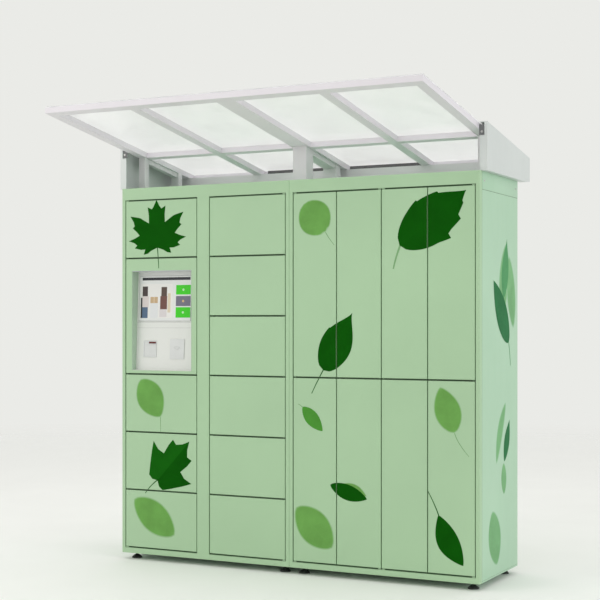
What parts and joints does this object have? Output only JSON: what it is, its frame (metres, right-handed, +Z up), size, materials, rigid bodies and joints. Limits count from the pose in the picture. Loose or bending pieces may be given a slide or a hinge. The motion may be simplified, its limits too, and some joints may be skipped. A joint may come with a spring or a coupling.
{
  "type": "parcel locker",
  "caption": "Outdoor parcel locker: two joined steel cabinets of hinged doors, a recessed control panel with touchscreen, and a sloping canopy on posts.",
  "frame": {"origin": "on the floor, midway along the front, in the plane of the doors, which is also the middle of the canopy's depth", "axes": "+X to the right seen from the front, +Y from the doors to the back, +Z up"},
  "size_m": [2.128, 1.41, 2.3878],
  "materials": {
    "green_paint": "satin pale green powder coat",
    "zinc": "zinc-plated sheet",
    "lock_grey": "dark grey powder coat",
    "fascia_white": "smooth off-white powder coat",
    "screen_glass": "glossy black glass over a display",
    "reader_grey": "matte grey moulding",
    "canopy_metal": "satin light grey powder coat",
    "roof_sheet": "frosted translucent sheet",
    "foot_black": "matte black moulding on a steel stem",
    "leaf_print": "printed vinyl film",
    "seal_rubber": "dull black rubber",
    "screw_steel": "stainless fasteners",
    "lamp_black": "dark lamp housing"
  },
  "bodies": {
    "cabinets": {"left_casing": "green_paint", "left_back_panel": "green_paint", "left_front_frame": "green_paint", "left_divider": "zinc", "left_shelf_1": "zinc", "left_shelf_2": "zinc", "left_shelf_3": "zinc", "left_shelf_4": "zinc", "left_half_shelf": "zinc", "left_lock_post": "lock_grey", "controller_box": "zinc", "right_casing": "green_paint", "right_back_panel": "green_paint", "right_front_frame": "green_paint", "right_divider_1": "zinc", "right_divider_2": "zinc", "right_divider_3": "zinc", "right_shelf": "zinc", "right_lock_post_1": "lock_grey", "right_lock_post_2": "lock_grey", "canopy_frame": "canopy_metal", "roof_panel_left": "roof_sheet", "roof_panel_right": "roof_sheet", "left_trestle": "canopy_metal", "centre_trestle": "canopy_metal", "right_trestle": "canopy_metal", "side_box_left": "canopy_metal", "side_box_right": "canopy_metal", "rear_channel": "canopy_metal", "levelling_foot_left_1": "foot_black", "levelling_foot_left_2": "foot_black", "levelling_foot_left_3": "foot_black", "levelling_foot_left_4": "foot_black", "levelling_foot_right_1": "foot_black", "levelling_foot_right_2": "foot_black", "levelling_foot_right_3": "foot_black", "levelling_foot_right_4": "foot_black"},
    "door_a1": {"door_a1": "green_paint"},
    "door_a2": {"door_a2": "green_paint"},
    "door_a3": {"door_a3": "green_paint"},
    "door_a4": {"door_a4": "green_paint"},
    "door_b1": {"door_b1": "green_paint"},
    "door_b2": {"door_b2": "green_paint"},
    "door_b3": {"door_b3": "green_paint"},
    "door_b4": {"door_b4": "green_paint"},
    "door_b5": {"door_b5": "green_paint"},
    "door_b6": {"door_b6": "green_paint"},
    "door_c1": {"door_c1": "green_paint"},
    "door_c2": {"door_c2": "green_paint"},
    "door_d1": {"door_d1": "green_paint"},
    "door_d2": {"door_d2": "green_paint"},
    "door_e1": {"door_e1": "green_paint"},
    "door_e2": {"door_e2": "green_paint"},
    "door_f1": {"door_f1": "green_paint"},
    "door_f2": {"door_f2": "green_paint"},
    "control_door": {"control_door": "green_paint", "control_fascia": "fascia_white", "touchscreen": "screen_glass", "scanner_window": "reader_grey", "card_reader": "reader_grey"}
  },
  "joints": [
    {"name": "door_a1_hinge", "type": "hinge", "parent": "cabinets", "child": "door_a1", "pos_m": [-1.002, 0.008, 1.80875], "axis": [0, 0, -1], "range_deg": [0, 90]},
    {"name": "door_a2_hinge", "type": "hinge", "parent": "cabinets", "child": "door_a2", "pos_m": [-1.002, 0.008, 0.85925], "axis": [0, 0, -1], "range_deg": [0, 90]},
    {"name": "door_a3_hinge", "type": "hinge", "parent": "cabinets", "child": "door_a3", "pos_m": [-1.002, 0.008, 0.54275], "axis": [0, 0, -1], "range_deg": [0, 90]},
    {"name": "door_a4_hinge", "type": "hinge", "parent": "cabinets", "child": "door_a4", "pos_m": [-1.002, 0.008, 0.22625], "axis": [0, 0, -1], "range_deg": [0, 90]},
    {"name": "door_b1_hinge", "type": "hinge", "parent": "cabinets", "child": "door_b1", "pos_m": [-0.033, 0.008, 1.80875], "axis": [0, 0, 1], "range_deg": [0, 90]},
    {"name": "door_b2_hinge", "type": "hinge", "parent": "cabinets", "child": "door_b2", "pos_m": [-0.033, 0.008, 1.49225], "axis": [0, 0, 1], "range_deg": [0, 90]},
    {"name": "door_b3_hinge", "type": "hinge", "parent": "cabinets", "child": "door_b3", "pos_m": [-0.033, 0.008, 1.17575], "axis": [0, 0, 1], "range_deg": [0, 90]},
    {"name": "door_b4_hinge", "type": "hinge", "parent": "cabinets", "child": "door_b4", "pos_m": [-0.033, 0.008, 0.85925], "axis": [0, 0, 1], "range_deg": [0, 90]},
    {"name": "door_b5_hinge", "type": "hinge", "parent": "cabinets", "child": "door_b5", "pos_m": [-0.033, 0.008, 0.54275], "axis": [0, 0, 1], "range_deg": [0, 90]},
    {"name": "door_b6_hinge", "type": "hinge", "parent": "cabinets", "child": "door_b6", "pos_m": [-0.033, 0.008, 0.22625], "axis": [0, 0, 1], "range_deg": [0, 90]},
    {"name": "door_c1_hinge", "type": "hinge", "parent": "cabinets", "child": "door_c1", "pos_m": [0.033, 0.008, 1.49225], "axis": [0, 0, -1], "range_deg": [0, 90]},
    {"name": "door_c2_hinge", "type": "hinge", "parent": "cabinets", "child": "door_c2", "pos_m": [0.033, 0.008, 0.54275], "axis": [0, 0, -1], "range_deg": [0, 90]},
    {"name": "door_d1_hinge", "type": "hinge", "parent": "cabinets", "child": "door_d1", "pos_m": [0.507, 0.008, 1.49225], "axis": [0, 0, 1], "range_deg": [0, 90]},
    {"name": "door_d2_hinge", "type": "hinge", "parent": "cabinets", "child": "door_d2", "pos_m": [0.507, 0.008, 0.54275], "axis": [0, 0, 1], "range_deg": [0, 90]},
    {"name": "door_e1_hinge", "type": "hinge", "parent": "cabinets", "child": "door_e1", "pos_m": [0.528, 0.008, 1.49225], "axis": [0, 0, -1], "range_deg": [0, 90]},
    {"name": "door_e2_hinge", "type": "hinge", "parent": "cabinets", "child": "door_e2", "pos_m": [0.528, 0.008, 0.54275], "axis": [0, 0, -1], "range_deg": [0, 90]},
    {"name": "door_f1_hinge", "type": "hinge", "parent": "cabinets", "child": "door_f1", "pos_m": [1.002, 0.008, 1.49225], "axis": [0, 0, 1], "range_deg": [0, 90]},
    {"name": "door_f2_hinge", "type": "hinge", "parent": "cabinets", "child": "door_f2", "pos_m": [1.002, 0.008, 0.54275], "axis": [0, 0, 1], "range_deg": [0, 90]},
    {"name": "control_door_hinge", "type": "hinge", "parent": "cabinets", "child": "control_door", "pos_m": [-1.002, 0.008, 1.334], "axis": [0, 0, -1], "range_deg": [0, 90]}
  ]
}
